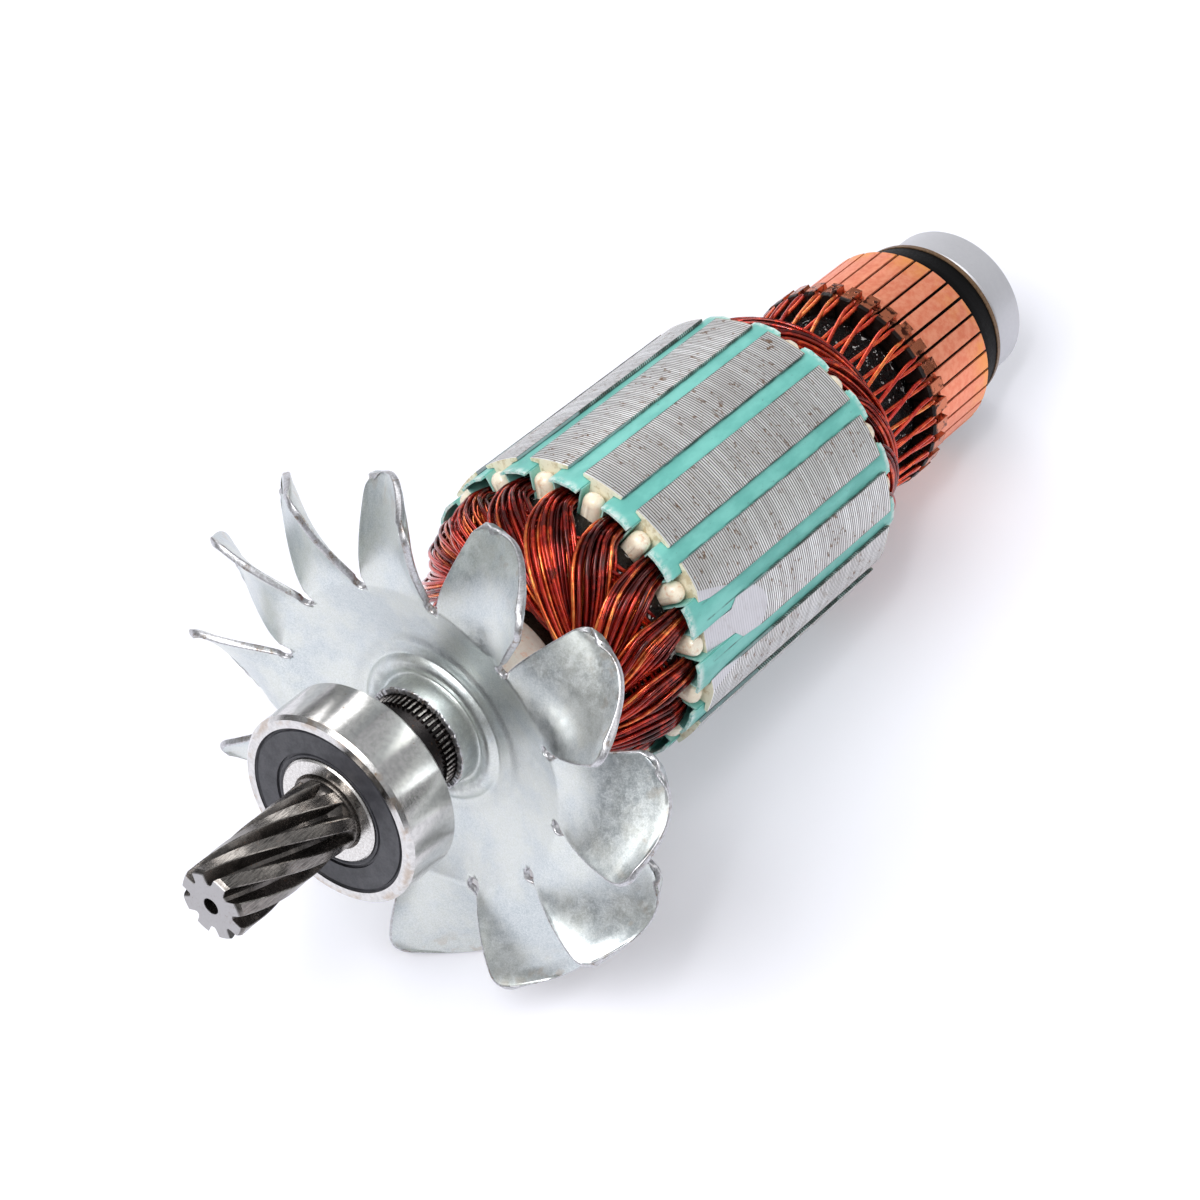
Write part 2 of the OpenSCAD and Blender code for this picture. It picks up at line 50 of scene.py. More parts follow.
# ---------------------------------------------------------------- shaft frame
# u runs along the shaft from the front bearing's outer face, r and psi round it, psi from straight down
axis = Vector(mounts["rear_bearing_seat"]["axis"]).normalized()
front_w = 10.0
origin = Vector(mounts["front_bearing_seat"]["pos_m"]) - axis * (front_w / 2 * MM)
side = Vector((0, 1, 0))
down = side.cross(axis)
AX, SD, DN, OR = (np.array(v) for v in (axis, side, down, origin))
tilt = math.atan2(-axis.z, axis.x)


def to_world(p):
    """Points given as x down, y sideways, z along the shaft, in millimetres."""
    p = np.asarray(p, float)
    return OR + MM * (p[..., 2:3] * AX + p[..., 0:1] * DN + p[..., 1:2] * SD)


# sizes shared with the solids
core_r, core_z, core_l = 26.5, 59.4, 49.0
core_end = core_z + core_l
guard = 3.1
head_z, rear_head_z = core_z - guard, core_end + guard
lead_l = 22.1
hook_z = rear_head_z + lead_l
bed_r = 10.1
bar_l = 19.8
slots, bars, blades = 16, 32, 12
slot_phase, bar_phase = 13.9, 7.95
slot_step, bar_step = 360 / slots, 360 / bars

# ---------------------------------------------------------------- material helpers


class Nodes:
    """Short calls for building one material's nodes."""

    def __init__(self, name):
        self.mat = bpy.data.materials.new(name)
        self.mat.use_nodes = True
        self.t = self.mat.node_tree
        self.t.nodes.clear()
        self.out = self.t.nodes.new("ShaderNodeOutputMaterial")
        self.bsdf = self.t.nodes.new("ShaderNodeBsdfPrincipled")
        self.t.links.new(self.bsdf.outputs[0], self.out.inputs[0])
        self._mm = None

    def link(self, a, b):
        self.t.links.new(a, b)

    def put(self, socket, value):
        if hasattr(value, "links") or hasattr(value, "is_linked"):
            self.link(value, socket)
        else:
            socket.default_value = value

    @property
    def mm(self):
        """Shaft coordinates in millimetres: x along the shaft, y sideways, z up from the axis."""
        if self._mm is None:
            tc = self.t.nodes.new("ShaderNodeTexCoord")
            mp = self.t.nodes.new("ShaderNodeMapping")
            turn = Matrix.Rotation(-tilt, 3, "Y")
            mp.inputs["Rotation"].default_value = (0, -tilt, 0)
            mp.inputs["Scale"].default_value = (1000, 1000, 1000)
            mp.inputs["Location"].default_value = turn @ (-origin * 1000)
            self.link(tc.outputs["Object"], mp.inputs["Vector"])
            self._mm = mp.outputs[0]
        return self._mm

    def sep(self):
        n = self.t.nodes.new("ShaderNodeSeparateXYZ")
        self.link(self.mm, n.inputs[0])
        return n.outputs

    def math(self, op, a, b=0.0):
        n = self.t.nodes.new("ShaderNodeMath")
        n.operation = op
        self.put(n.inputs[0], a)
        self.put(n.inputs[1], b)
        return n.outputs[0]

    def radius(self):
        s = self.sep()
        squares = self.math("ADD", self.math("MULTIPLY", s[1], s[1]), self.math("MULTIPLY", s[2], s[2]))
        return self.math("SQRT", squares)

    def from_slot(self):
        """Distance in millimetres, round the shaft, from the middle of the nearest slot."""
        s = self.sep()
        turn = self.math("DEGREES", self.math("ARCTAN2", s[1], self.math("MULTIPLY", s[2], -1.0)))
        pitches = self.math("DIVIDE", self.math("SUBTRACT", turn, slot_phase), slot_step)
        part = self.math("FRACT", self.math("ADD", pitches, 0.5))
        share = self.math("ABSOLUTE", self.math("SUBTRACT", part, 0.5))
        return self.math("MULTIPLY", self.math("MULTIPLY", share, math.radians(slot_step)), self.radius())

    def stretch(self, sx, sy, sz):
        n = self.t.nodes.new("ShaderNodeVectorMath")
        n.operation = "MULTIPLY"
        self.link(self.mm, n.inputs[0])
        n.inputs[1].default_value = (sx, sy, sz)
        return n.outputs[0]

    def noise(self, scale, detail=4.0, rough=0.6, v=None, dist=0.0):
        n = self.t.nodes.new("ShaderNodeTexNoise")
        self.link(v or self.mm, n.inputs["Vector"])
        n.inputs["Scale"].default_value = scale
        n.inputs["Detail"].default_value = detail
        n.inputs["Roughness"].default_value = rough
        n.inputs["Distortion"].default_value = dist
        return n.outputs[0]

    def cells(self, scale):
        n = self.t.nodes.new("ShaderNodeTexVoronoi")
        self.link(self.mm, n.inputs["Vector"])
        n.inputs["Scale"].default_value = scale
        return n.outputs["Distance"]

    def ramp(self, f, lo, hi, a=0.0, b=1.0):
        """Smooth step of f from a at lo to b at hi."""
        n = self.t.nodes.new("ShaderNodeMapRange")
        n.interpolation_type = "SMOOTHSTEP"
        self.put(n.inputs[0], f)
        for i, x in zip((1, 2, 3, 4), (lo, hi, a, b)):
            n.inputs[i].default_value = x
        return n.outputs[0]

    def mix(self, f, a, b):
        n = self.t.nodes.new("ShaderNodeMix")
        n.data_type = "RGBA"
        self.put(n.inputs[0], f)
        self.put(n.inputs[6], a if hasattr(a, "links") else (*a, 1) if len(a) == 3 else a)
        self.put(n.inputs[7], b if hasattr(b, "links") else (*b, 1) if len(b) == 3 else b)
        return n.outputs[2]

    def bump(self, height, strength, dist_mm):
        n = self.t.nodes.new("ShaderNodeBump")
        n.inputs["Strength"].default_value = strength
        n.inputs["Distance"].default_value = dist_mm * MM
        self.put(n.inputs["Height"], height)
        return n.outputs[0]

    def finish(self, color, rough, metal, normal=None, **extra):
        b = self.bsdf
        self.put(b.inputs["Base Color"], color if hasattr(color, "links") else (*color, 1))
        self.put(b.inputs["Roughness"], rough)
        self.put(b.inputs["Metallic"], metal)
        if normal is not None:
            self.link(normal, b.inputs["Normal"])
        for k, v in extra.items():
            b.inputs[k.replace("_", " ")].default_value = v
        return self.mat


# ---------------------------------------------------------------- materials


def make_shaft_steel():
    n = Nodes("shaft_steel")
    u = n.sep()[0]
    r = n.radius()
    big = n.noise(0.35, 5, 0.65)
    fine = n.noise(3.2, 6, 0.7)
    grain = n.noise(2.0, 5, 0.6, n.stretch(0.25, 3, 3))
    rust = n.math("MULTIPLY", n.ramp(fine, 0.57, 0.68), n.ramp(big, 0.46, 0.62))
    base = n.mix(n.ramp(big, 0.3, 0.7), (0.060, 0.055, 0.052), (0.17, 0.155, 0.145))
    # tooth crests are worn bright, and the lighter colour along them is partly a painted highlight
    teeth = n.math("MULTIPLY", n.ramp(u, 0.5, -1.5), n.ramp(grain, 0.35, 0.6))
    crest_wear_and_highlight = n.math("MULTIPLY", n.ramp(r, 5.5, 5.82), teeth)
    base = n.mix(n.math("MULTIPLY", crest_wear_and_highlight, 0.6), base, (0.36, 0.335, 0.31))
    # the band between the front bearing and the fan is oxidised nearly black
    band = n.math("MULTIPLY", n.ramp(u, 9.5, 10.2), n.ramp(u, 19.6, 19.2))
    base = n.mix(band, base, (0.035, 0.03, 0.03))
    tip = n.math("MULTIPLY", n.ramp(r, 7.72, 7.88), band)
    base = n.mix(n.math("MULTIPLY", tip, n.ramp(fine, 0.35, 0.6)), base, (0.52, 0.48, 0.45))
    # the pinion's end face is bright
    ends = n.ramp(u, -24.35, -24.6)
    base = n.mix(ends, base, (0.42, 0.41, 0.41))
    base = n.mix(n.math("MULTIPLY", rust, 0.75), base, (0.20, 0.085, 0.035))
    rough = n.math("ADD", n.ramp(fine, 0.3, 0.75, 0.16, 0.34), n.math("MULTIPLY", ends, 0.2))
    return n.finish(base, rough, 0.95, n.bump(n.math("ADD", fine, grain), 0.16, 0.04))


def make_bearing_steel():
    n = Nodes("bearing_steel")
    u = n.sep()[0]
    r = n.radius()
    fine = n.noise(1.2, 5, 0.6)
    hair = n.noise(3.0, 4, 0.6, n.stretch(10, 0.25, 0.25))
    spots = n.math("MULTIPLY", n.ramp(n.cells(0.45), 0.1, 0.06), n.ramp(n.noise(0.5), 0.5, 0.62))
    base = n.mix(n.ramp(fine, 0.35, 0.7), (0.68, 0.665, 0.65), (0.55, 0.54, 0.53))
    base = n.mix(spots, base, (0.33, 0.2, 0.12))
    # thin brown film on the front ring's chamfer
    film = n.math("MULTIPLY", n.ramp(r, 14.2, 15.4), n.ramp(n.noise(0.35, 4, 0.6), 0.45, 0.6))
    film = n.math("MULTIPLY", n.ramp(u, 1.2, 0.2), film)
    base = n.mix(n.math("MULTIPLY", film, 0.55), base, (0.42, 0.30, 0.20))
    # the rear ring's paler colour is a painted reflection of bright white surroundings, and the ring is also
    # made duller than the front one
    rear = n.ramp(u, 30.0, 40.0)
    base = n.mix(n.math("MULTIPLY", rear, 0.85), base, (0.60, 0.60, 0.635))
    rough = n.math("ADD", n.ramp(hair, 0.3, 0.7, 0.15, 0.25), n.math("MULTIPLY", rear, 0.22))
    metal = n.math("SUBTRACT", 1.0, n.math("MULTIPLY", rear, 0.6))
    return n.finish(base, rough, metal, n.bump(hair, 0.03, 0.02))


def make_ring_steel():
    n = Nodes("ring_steel")
    fine = n.noise(2.4, 6, 0.7)
    base = n.mix(n.ramp(fine, 0.3, 0.7), (0.78, 0.76, 0.73), (0.56, 0.54, 0.52))
    base = n.mix(n.ramp(n.noise(1.1, 5, 0.7), 0.62, 0.72), base, (0.33, 0.2, 0.12))
    return n.finish(base, n.ramp(fine, 0.3, 0.7, 0.2, 0.38), 1.0, n.bump(fine, 0.1, 0.02))


def make_ball_steel():
    n = Nodes("ball_steel")
    fine = n.noise(2.0, 3, 0.5)
    return n.finish(n.mix(fine, (0.8, 0.8, 0.82), (0.7, 0.7, 0.72)), n.ramp(fine, 0.3, 0.7, 0.06, 0.12), 1.0)


def make_cage_steel():
    n = Nodes("cage_steel")
    fine = n.noise(2.0, 4, 0.6)
    return n.finish(n.mix(fine, (0.6, 0.57, 0.5), (0.45, 0.43, 0.4)), 0.35, 1.0, n.bump(fine, 0.1, 0.03))


def make_rubber():
    n = Nodes("seal_rubber")
    fine = n.noise(2.6, 6, 0.7)
    wide = n.noise(0.5, 3, 0.5)
    base = n.mix(n.ramp(wide, 0.3, 0.7), (0.030, 0.030, 0.036), (0.052, 0.052, 0.060))
    base = n.mix(n.ramp(fine, 0.62, 0.72), base, (0.11, 0.105, 0.105))
    return n.finish(base, n.ramp(fine, 0.3, 0.7, 0.38, 0.6), 0.0, n.bump(fine, 0.25, 0.04))


def make_zinc():
    n = Nodes("zinc_sheet")
    r = n.radius()
    wide = n.noise(0.10, 4, 0.6)
    mid = n.noise(0.7, 5, 0.7)
    grain = n.noise(3.2, 5, 0.75)
    base = n.mix(n.ramp(wide, 0.4, 0.6), (0.50, 0.55, 0.56), (0.64, 0.665, 0.62))
    base = n.mix(n.math("MULTIPLY", n.ramp(mid, 0.35, 0.65), 0.4), base, (0.74, 0.77, 0.77))
    base = n.mix(n.math("MULTIPLY", n.ramp(grain, 0.42, 0.62), 0.45), base, (0.86, 0.88, 0.88))
    speck = n.noise(7.5, 3, 0.7)
    base = n.mix(n.math("MULTIPLY", n.ramp(speck, 0.56, 0.70), 0.55), base, (0.93, 0.94, 0.93))
    base = n.mix(n.math("MULTIPLY", n.ramp(speck, 0.44, 0.32), 0.5), base, (0.34, 0.37, 0.385))
    # a few dark pits, and brown stains that gather towards the blade tips
    pit = n.math("MULTIPLY", n.ramp(n.noise(5.5, 3, 0.6), 0.68, 0.78), 0.16)
    base = n.mix(pit, base, (0.20, 0.20, 0.20))
    stain = n.math("MULTIPLY", n.ramp(n.noise(0.45, 3, 0.5), 0.52, 0.66), n.ramp(r, 37.5, 43.5))
    base = n.mix(n.math("MULTIPLY", stain, 0.45), base, (0.50, 0.41, 0.31))
    # painted shade darkens the groove round the hub
    hub_groove_shade = n.math("MULTIPLY", n.ramp(r, 12.6, 11.0), n.ramp(mid, 0.4, 0.6))
    base = n.mix(n.math("MULTIPLY", hub_groove_shade, 0.35), base, (0.34, 0.35, 0.34))
    rough = n.ramp(n.math("ADD", mid, n.math("MULTIPLY", grain, 0.6)), 0.55, 1.05, 0.28, 0.44)
    h = n.math("ADD", n.math("MULTIPLY", wide, 1.5), n.math("MULTIPLY", n.math("ADD", grain, speck), 0.4))
    return n.finish(base, rough, 0.9, n.bump(h, 0.16, 0.05))


def make_zinc_edge():
    n = Nodes("zinc_cut_edge")
    fine = n.noise(2.8, 5, 0.7)
    wide = n.noise(0.5, 4, 0.6)
    base = n.mix(n.ramp(fine, 0.42, 0.6), (0.46, 0.455, 0.47), (0.64, 0.64, 0.66))
    base = n.mix(n.math("MULTIPLY", n.ramp(wide, 0.52, 0.62), n.ramp(fine, 0.4, 0.6)), base, (0.26, 0.21, 0.17))
    return n.finish(base, n.ramp(fine, 0.3, 0.7, 0.28, 0.42), 0.9, n.bump(fine, 0.2, 0.04))


def make_cream(name, light, dark, spot, dark_past_winding=False):
    n = Nodes(name)
    wide = n.noise(0.4, 4, 0.6)
    fine = n.noise(2.5, 5, 0.7)
    base = n.mix(n.ramp(wide, 0.35, 0.65), light, dark)
    base = n.mix(n.math("MULTIPLY", n.ramp(n.noise(1.0, 4, 0.6), 0.54, 0.7), 0.6), base, spot)
    if dark_past_winding:
        # the sleeve is coloured nearly black from the winding's edge on
        winding_edge = 42.35
        base = n.mix(n.ramp(n.sep()[0], winding_edge, winding_edge + 0.2), base, (0.03, 0.018, 0.012))
    height = n.bump(n.math("ADD", fine, wide), 0.3, 0.12)
    return n.finish(base, n.ramp(fine, 0.3, 0.7, 0.22, 0.42), 0.0, height, Subsurface_Weight=0.08,
                    Subsurface_Radius=(0.002, 0.0015, 0.001), Coat_Weight=0.5, Coat_Roughness=0.1)


def make_lamination():
    n = Nodes("lamination_steel")
    s = n.sep()
    u, r = s[0], n.radius()
    pitch = 0.504
    wob = n.math("MULTIPLY", n.noise(0.25, 2, 0.5), 0.12)
    sheets = n.math("DIVIDE", n.math("ADD", u, wob), pitch)
    off_middle = n.math("ABSOLUTE", n.math("SUBTRACT", n.math("FRACT", sheets), 0.5))
    groove = n.ramp(off_middle, 0.27, 0.41)
    # each sheet has its own shade
    w = n.t.nodes.new("ShaderNodeTexWhiteNoise")
    w.noise_dimensions = "1D"
    n.link(n.math("FLOOR", sheets), w.inputs["W"])
    shade = w.outputs["Value"]
    wide = n.noise(0.1, 4, 0.6)
    mid = n.noise(0.7, 5, 0.65, n.stretch(1.6, 1, 1))
    base = n.mix(n.ramp(shade, 0.0, 1.0), (0.74, 0.73, 0.725), (0.93, 0.925, 0.92))
    base = n.mix(n.math("MULTIPLY", n.ramp(wide, 0.35, 0.65), 0.4), base, (0.56, 0.53, 0.51))
    base = n.mix(groove, base, (0.045, 0.04, 0.038))
    fleck = n.math("MULTIPLY", n.ramp(mid, 0.56, 0.66), n.ramp(wide, 0.40, 0.54, 0.3, 0.95))
    base = n.mix(fleck, base, (0.20, 0.115, 0.065))
    # painted shadow lines darken the steel along the edges of the slots
    patchy = n.ramp(n.noise(0.3, 4, 0.6), 0.36, 0.6, 0.15, 0.85)
    edge = n.math("MULTIPLY", n.ramp(n.from_slot(), 1.72, 1.5), patchy)
    base = n.mix(edge, base, (0.07, 0.058, 0.05))
    # the stack's end faces carry a cream insulating film
    front_face = n.ramp(u, core_z + 0.12, core_z + 0.04)
    rear_face = n.ramp(u, core_end - 0.12, core_end - 0.04)
    faced = n.math("MAXIMUM", front_face, rear_face)
    film = n.mix(n.ramp(n.noise(0.9, 4, 0.6), 0.45, 0.65), (0.84, 0.78, 0.62), (0.62, 0.52, 0.34))
    # the milled balancing cut is smooth, without the sheets' lines
    milled = n.math("MULTIPLY", n.ramp(r, core_r - 0.03, core_r - 0.08), n.ramp(r, core_r - 2.4, core_r - 2.0))
    milled = n.math("MULTIPLY", milled, n.ramp(u, core_z + 0.05, core_z + 0.2))
    milled = n.math("MULTIPLY", milled, n.ramp(u, core_z + 16, core_z + 15.5))
    base = n.mix(n.math("MULTIPLY", milled, 0.85), base, (0.62, 0.61, 0.64))
    base = n.mix(faced, base, film)
    keep = n.math("SUBTRACT", 1.0, n.math("MULTIPLY", milled, 0.85))
    height = n.math("SUBTRACT", n.math("ADD", shade, 0.3), n.math("MULTIPLY", groove, 2.0))
    height = n.math("ADD", n.math("MULTIPLY", height, keep), n.math("MULTIPLY", mid, 0.5))
    metal = n.math("MULTIPLY", n.math("SUBTRACT", 1.0, faced), 0.62)
    return n.finish(base, n.ramp(mid, 0.3, 0.7, 0.3, 0.48), metal, n.bump(height, 0.4, 0.07))


def make_turquoise(name, light, dark):
    n = Nodes(name)
    wide = n.noise(0.25, 4, 0.6, n.stretch(0.5, 1, 1))
    mid = n.noise(1.2, 5, 0.7, n.stretch(0.6, 1, 1))
    fine = n.noise(5.0, 4, 0.7)
    u = n.sep()[0]
    base = n.mix(n.ramp(wide, 0.35, 0.65), light, dark)
    base = n.mix(n.math("MULTIPLY", n.ramp(mid, 0.62, 0.75), 0.7), base, (0.10, 0.19, 0.19))
    # painted shadow lines darken the wedges where they meet the steel
    past_front = n.ramp(u, core_z + 0.1, core_z + 1.0)
    inside = n.math("MULTIPLY", past_front, n.ramp(u, core_end - 0.1, core_end - 1.0))
    away = n.from_slot()
    patchy = n.ramp(n.noise(0.35, 4, 0.6), 0.38, 0.6, 0.15, 0.8)
    edge = n.math("MULTIPLY", n.ramp(away, 1.16, 1.36), patchy)
    inside = n.math("MULTIPLY", inside, n.ramp(away, 1.55, 1.45))
    base = n.mix(n.math("MULTIPLY", edge, inside), base, (0.04, 0.10, 0.09))
    # the cut ends are pale and frayed
    end = n.math("MAXIMUM", n.ramp(u, core_z - 1.6, core_z - 3.2), n.ramp(u, core_end + 0.8, core_end + 2.0))
    frayed = n.math("MULTIPLY", n.math("MULTIPLY", end, n.ramp(mid, 0.35, 0.6)), 0.8)
    base = n.mix(frayed, base, (0.80, 0.86, 0.82))
    return n.finish(base, n.ramp(mid, 0.3, 0.7, 0.3, 0.5), 0.0, n.bump(n.math("ADD", mid, fine), 0.25, 0.08))


def make_enamel(name, red, orange, dark, share=0.5, metal=0.7):
    n = Nodes(name)
    r = n.radius()
    wide = n.noise(0.3, 4, 0.6)
    mid = n.noise(0.8, 3, 0.6)
    base = n.mix(n.ramp(mid, 0.42, 0.62), red, orange)
    base = n.mix(n.math("MULTIPLY", n.ramp(wide, share, share + 0.12), 0.8), base, dark)
    # varnish has pooled dark over the knuckles where the coils leave their slots
    pool = n.math("MULTIPLY", n.ramp(r, 20.6, 22.6), n.ramp(n.noise(0.45, 4, 0.6), 0.36, 0.56))
    base = n.mix(n.math("MULTIPLY", pool, 0.85), base, dark)
    return n.finish(base, n.ramp(mid, 0.3, 0.7, 0.16, 0.24), metal, n.bump(mid, 0.1, 0.05),
                    Specular_IOR_Level=0.3, Coat_Weight=0.6, Coat_Roughness=0.05)


def make_varnish():
    n = Nodes("black_varnish")
    mid = n.noise(0.9, 5, 0.65, dist=0.6)
    fine = n.noise(3.0, 4, 0.6)
    base = n.mix(n.ramp(mid, 0.5, 0.7), (0.006, 0.004, 0.004), (0.030, 0.010, 0.008))
    glint = n.math("MULTIPLY", n.ramp(n.noise(0.8, 2, 0.5), 0.61, 0.64), n.ramp(mid, 0.46, 0.56))
    base = n.mix(n.math("MULTIPLY", glint, 0.9), base, (0.85, 0.85, 0.83))
    h = n.math("ADD", mid, n.math("MULTIPLY", fine, 0.4))
    return n.finish(base, n.ramp(fine, 0.3, 0.7, 0.06, 0.16), 0.0, n.bump(h, 0.9, 0.9),
                    Specular_IOR_Level=0.22, Coat_Weight=0.12, Coat_Roughness=0.05)


def make_copper():
    n = Nodes("bar_copper")
    s = n.sep()
    u, r = s[0], n.radius()
    wide = n.noise(0.2, 4, 0.6)
    mid = n.noise(0.9, 5, 0.65)
    turned = n.noise(2.0, 4, 0.6, n.stretch(5, 0.4, 0.4))
    base = n.mix(n.ramp(mid, 0.35, 0.65), (0.94, 0.27, 0.15), (1.0, 0.39, 0.24))
    # heat tint in orange and yellow towards the rear end
    tint = n.math("MULTIPLY", n.ramp(u, hook_z + 13, hook_z + bar_l), n.ramp(wide, 0.40, 0.58))
    base = n.mix(n.math("MULTIPLY", tint, 0.65), base, (1.0, 0.42, 0.09))
    hooks = n.math("MAXIMUM", n.ramp(r, 17.72, 17.85), n.ramp(u, hook_z + 4.7, hook_z + 4.2))
    pit = n.ramp(n.noise(0.8, 3, 0.5), 0.52, 0.66)
    hot = n.mix(pit, (0.60, 0.19, 0.10), (0.08, 0.022, 0.013))
    base = n.mix(hooks, base, hot)
    # the bars' inner ends and the faces between the hooks are black with varnish
    deep = n.math("MAXIMUM", n.ramp(r, 17.45, 17.2), n.ramp(u, hook_z + 1.0, hook_z + 0.5))
    base = n.mix(deep, base, (0.012, 0.007, 0.006))
    h = n.math("ADD", n.math("MULTIPLY", turned, 0.3), n.math("MULTIPLY", n.math("MULTIPLY", hooks, pit), 1.5))
    rough = n.math("SUBTRACT", n.ramp(mid, 0.3, 0.7, 0.36, 0.48), n.math("MULTIPLY", hooks, 0.24))
    metal = n.math("SUBTRACT", n.math("MULTIPLY", hooks, 0.3), n.math("MULTIPLY", deep, 0.92))
    metal = n.math("ADD", 0.62, metal)
    return n.finish(base, rough, metal, n.bump(h, 0.35, 0.1), Specular_IOR_Level=0.15)


def make_moulding():
    n = Nodes("black_moulding")
    fine = n.noise(2.2, 5, 0.7)
    base = n.mix(n.ramp(fine, 0.4, 0.7), (0.002, 0.002, 0.002), (0.007, 0.006, 0.006))
    return n.finish(base, n.ramp(fine, 0.3, 0.7, 0.4, 0.6), 0.0, n.bump(fine, 0.3, 0.06),
                    Specular_IOR_Level=0.04)


def make_washer():
    n = Nodes("brown_washer")
    fine = n.noise(2.2, 5, 0.7)
    base = n.mix(n.ramp(fine, 0.4, 0.7), (0.22, 0.13, 0.07), (0.10, 0.06, 0.035))
    return n.finish(base, 0.4, 0.3, n.bump(fine, 0.3, 0.05))


MATS = {
    "shaft_steel": make_shaft_steel(),
    "bearing_steel": make_bearing_steel(),
    "ring_steel": make_ring_steel(),
    "ball_steel": make_ball_steel(),
    "cage_steel": make_cage_steel(),
    "seal_rubber": make_rubber(),
    "zinc_sheet": make_zinc(),
    "cream_insulation": make_cream("cream_insulation", (0.90, 0.83, 0.72), (0.84, 0.75, 0.64),
                                   (0.85, 0.46, 0.28), dark_past_winding=True),
    "lamination_steel": make_lamination(),
    "ivory_fibre": make_cream("ivory_fibre", (0.95, 0.87, 0.71), (0.88, 0.76, 0.58), (0.70, 0.36, 0.17)),
    "liner_film": make_turquoise("liner_film", (0.34, 0.68, 0.60), (0.18, 0.50, 0.45)),
    "wedge_fibre": make_turquoise("wedge_fibre", (0.22, 0.62, 0.55), (0.15, 0.50, 0.44)),
    "enamel_wire": make_enamel("enamel_wire", (0.52, 0.020, 0.011), (0.68, 0.055, 0.016),
                               (0.07, 0.005, 0.004), 0.57),
    "lead_wire": make_enamel("lead_wire", (0.62, 0.042, 0.016), (0.84, 0.12, 0.03),
                             (0.20, 0.012, 0.008), 0.60, 0.8),
    "bar_copper": make_copper(),
    "black_moulding": make_moulding(),
    "brown_washer": make_washer(),
}
# a brighter and a darker copy of the wire enamel, given to wires at random, are painted highlight and painted
# shade
enamel_painted_highlight = make_enamel("enamel_painted_highlight", (0.86, 0.12, 0.03), (0.97, 0.30, 0.07),
                            (0.30, 0.02, 0.01), 0.62, 0.85)
enamel_painted_shade = make_enamel("enamel_painted_shade", (0.24, 0.010, 0.007), (0.38, 0.016, 0.010),
                          (0.03, 0.003, 0.003), 0.52, 0.7)
varnish = make_varnish()
cut_edge = make_zinc_edge()

slot_of = {s["node"]: s["material_slot"] for s in frame["record"]["subparts"]}
for name, obj in nodes.items():
    obj.data.materials.clear()
    obj.data.materials.append(MATS[slot_of[name]])
    weld = obj.modifiers.new("weld", "WELD")
    weld.merge_threshold = 2e-6
    for poly in obj.data.polygons:
        poly.use_smooth = True
    split = obj.modifiers.new("split", "EDGE_SPLIT")
    split.split_angle = math.radians(26)

# ---------------------------------------------------------------- mesh helpers


def make_mesh(name, verts, faces, mat, body="rotor"):
    mesh = bpy.data.meshes.new(name)
    mesh.from_pydata([tuple(v) for v in verts], [], faces)
    mesh.update()
    mesh.polygons.foreach_set("use_smooth", [True] * len(mesh.polygons))
    obj = bpy.data.objects.new(name, mesh)
    bpy.context.scene.collection.objects.link(obj)
    mesh.materials.append(mat)
    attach(obj, body)
    return obj


def tubes(name, paths, radius, mats, tones, sides):
    """One mesh of round wires; paths is a list of (n, 3) arrays in shaft millimetres (down, side, along).

    Wire k takes material tones[k] of mats.
    """
    verts, faces, tone = [], [], []
    ring = np.radians(np.arange(sides) * 360 / sides)
    for count, path in enumerate(paths):
        p = np.asarray(path, float)
        t = np.gradient(p, axis=0)
        t /= np.linalg.norm(t, axis=1)[:, None]
        ref = p * np.array([1, 1, 0])
        ref /= np.linalg.norm(ref, axis=1)[:, None] + 1e-9
        n1 = ref - (ref * t).sum(1)[:, None] * t
        n1 /= np.linalg.norm(n1, axis=1)[:, None] + 1e-9
        n2 = np.cross(t, n1)
        out, across = np.cos(ring)[None, :, None], np.sin(ring)[None, :, None]
        c = p[:, None, :] + radius * (out * n1[:, None, :] + across * n2[:, None, :])
        base = len(verts)
        verts.extend(to_world(c.reshape(-1, 3)))
        m = len(p)
        for i in range(m - 1):
            for j in range(sides):
                k = (j + 1) % sides
                a, b = base + i * sides + j, base + i * sides + k
                faces.append((a, b, b + sides, a + sides))
        faces.append(tuple(base + j for j in reversed(range(sides))))
        faces.append(tuple(base + (m - 1) * sides + j for j in range(sides)))
        tone += [tones[count % len(tones)]] * ((m - 1) * sides + 2)
    obj = make_mesh(name, verts, faces, mats[0])
    for m in mats[1:]:
        obj.data.materials.append(m)
    obj.data.polygons.foreach_set("material_index", tone)
    return obj


def polar(r, psi, u):
    """Points (down, side, along) from a radius, an angle in degrees and a place along the shaft."""
    a = np.radians(psi)
    return np.stack([r * np.cos(a), r * np.sin(a), np.broadcast_to(u, np.shape(a))], -1)


def smooth_path(points, n):
    """Catmull-Rom curve through points given as (r, psi, u), evenly sampled."""
    q = np.asarray(points, float)
    q = np.vstack([2 * q[0] - q[1], q, 2 * q[-1] - q[-2]])
    s = np.linspace(0, len(points) - 1 - 1e-9, n * 4)
    i = s.astype(int)
    f = (s - i)[:, None]
    p0, p1, p2, p3 = q[i], q[i + 1], q[i + 2], q[i + 3]
    square, cube = 2 * p0 - 5 * p1 + 4 * p2 - p3, 3 * p1 - p0 - 3 * p2 + p3
    c = 0.5 * ((2 * p1) + (p2 - p0) * f + square * f**2 + cube * f**3)
    x = polar(c[:, 0], c[:, 1], c[:, 2])
    d = np.concatenate([[0], np.cumsum(np.linalg.norm(np.diff(x, axis=0), axis=1))])
    e = np.linspace(0, d[-1], n)
    return np.stack([np.interp(e, d, x[:, k]) for k in range(3)], -1)


GOLDEN_ANGLE = 2.399963
FULL_TURN = 6.28


def sunflower(count):
    """Evenly spread places in a unit disc."""
    i = np.arange(count) + 0.5
    r = np.sqrt(i / count)
    a = i * GOLDEN_ANGLE
    return r * np.cos(a), r * np.sin(a)


